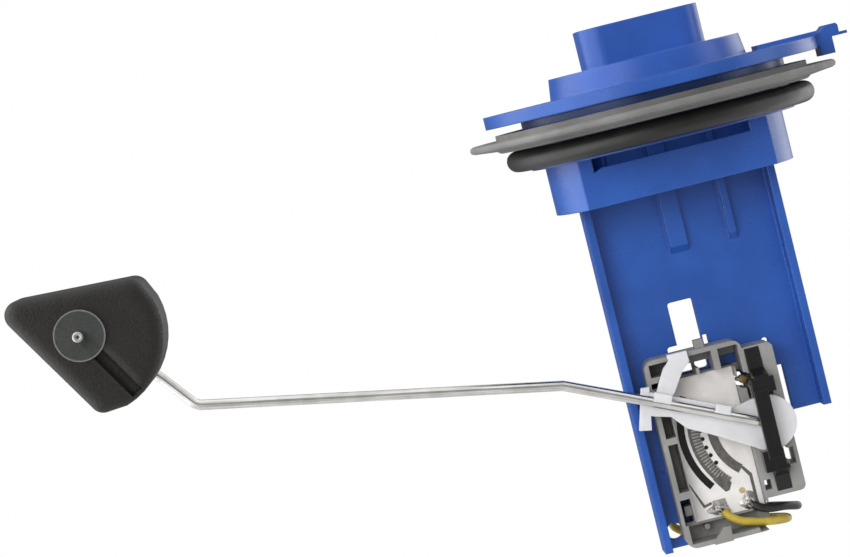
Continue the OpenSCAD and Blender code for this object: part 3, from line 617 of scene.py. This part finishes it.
# Studio: white world for the camera, softer light for the object, and a pale floor well below it
studioSet = {
    "ambient": 0.66,
    "frontGloss": 0.35,
    "sky": {"gloss": 1.15, "height": (0.2, 0.75)},
    "ground": {"gloss": 0.75, "height": (-0.25, -0.8)},
    "back": {"dim": 0.6, "depth": (0.6, 0.92)},
    "boxes": (
        {"gloss": 2.1, "across": (-0.3, -0.6), "depths": ((0.75, 0.4),)},  # left
        {"gloss": 1.9, "across": (0.3, 0.7), "depths": ((0.2, 0.5),)},  # right, towards the back
        {"gloss": 1.6, "across": (0.7, 0.85), "depths": ((0.1, -0.1), (-0.55, -0.35))},  # strip at the right
    ),
    "key": {"from": (-0.4, -0.9, 0.34), "strength": 1.4, "angle": 34},
    "fill": {"from": (-0.95, 0.0, 0.4), "strength": 1.7, "angle": 40},
    "floor": {
        "across": -0.05, "drop": -0.24, "half": 0.32, "fade": (0.14, 0.3), "shade": (0.82, 0.82, 0.82, 1)},
}


def makeWorld(values):
    world = bpy.data.worlds.new("whiteStudio")
    world.use_nodes = True
    bpy.context.scene.world = world
    paint = Paint(world)
    camera, glossy, through = (paint.node("LightPath", out="Is " + kind + " Ray")
                               for kind in ("Camera", "Glossy", "Transmission"))
    way = paint.node("TexCoord", out="Generated")
    side, depth, height = (paint.node("SeparateXYZ", {}, {0: way}, k) for k in range(3))
    # What gloss shows: plain in front, bright above and below, dim at the back, and soft boxes at the sides
    dome = values["frontGloss"]
    for part in (values["sky"], values["ground"]):
        dome = paint.rise(height, *part["height"]) * (part["gloss"] - values["frontGloss"]) + dome
    dome = dome * (1 - paint.rise(depth, *values["back"]["depth"]) * values["back"]["dim"])
    for box in values["boxes"]:
        shape = paint.rise(side, *box["across"])
        for limits in box["depths"]:
            shape = shape * paint.rise(depth, *limits)
        dome = dome + shape * box["gloss"]
    white = (1, 1, 1, 1)
    soft, mirror, plain = (paint.node("Background", {}, {0: white, 1: strength})
                           for strength in (values["ambient"], dome, 1.0))
    lit = paint.node("MixShader", {}, {0: glossy, 1: soft, 2: mirror})
    seen = paint.node("MixShader", {}, {0: paint.math("MAXIMUM", camera, through), 1: lit, 2: plain})
    paint.node("OutputWorld", {}, {"Surface": seen})


def makeSun(name, values):
    data = bpy.data.lights.new(name, "SUN")
    data.energy, data.angle = values["strength"], math.radians(values["angle"])
    lamp = addObject(name, data)
    lamp.visible_glossy = False  # the world's soft boxes give the highlights
    lamp.rotation_mode = "QUATERNION"
    lamp.rotation_quaternion = Vector(values["from"]).to_track_quat("Z", "Y")


def makeFloor(values):
    middle, low, half = values["across"], values["drop"], values["half"]
    corners = [(middle + x, y, low) for x, y in ((-half, -half), (half, -half), (half, half), (-half, half))]
    mesh = bpy.data.meshes.new("paleFloor")
    mesh.from_pydata(corners, [], [(0, 1, 2, 3)])
    floor = addObject("paleFloor", mesh)
    material, paint = newMaterial("paleFloor")
    place = paint.node("TexCoord", out="Object")
    reach = paint.node("VectorMath", {"operation": "DISTANCE"}, {0: place, 1: (middle, 0, low)}, 1)
    start, end = values["fade"]
    far = paint.node("MapRange", {"interpolation_type": "SMOOTHSTEP"}, {0: reach, 1: start, 2: end})
    matt = paint.node("BsdfDiffuse", {}, {0: values["shade"]})
    white = paint.node("Emission", {}, {0: (1, 1, 1, 1), 1: 1.0})
    paint.node("OutputMaterial", {}, {"Surface": paint.node("MixShader", {}, {0: far, 1: matt, 2: white})})
    mesh.materials.append(material)


makeWorld(studioSet)
makeSun("keySun", studioSet["key"])
makeSun("fillSun", studioSet["fill"])
makeFloor(studioSet["floor"])
bpy.context.scene.view_settings.view_transform = "Standard"
print("studio lit")
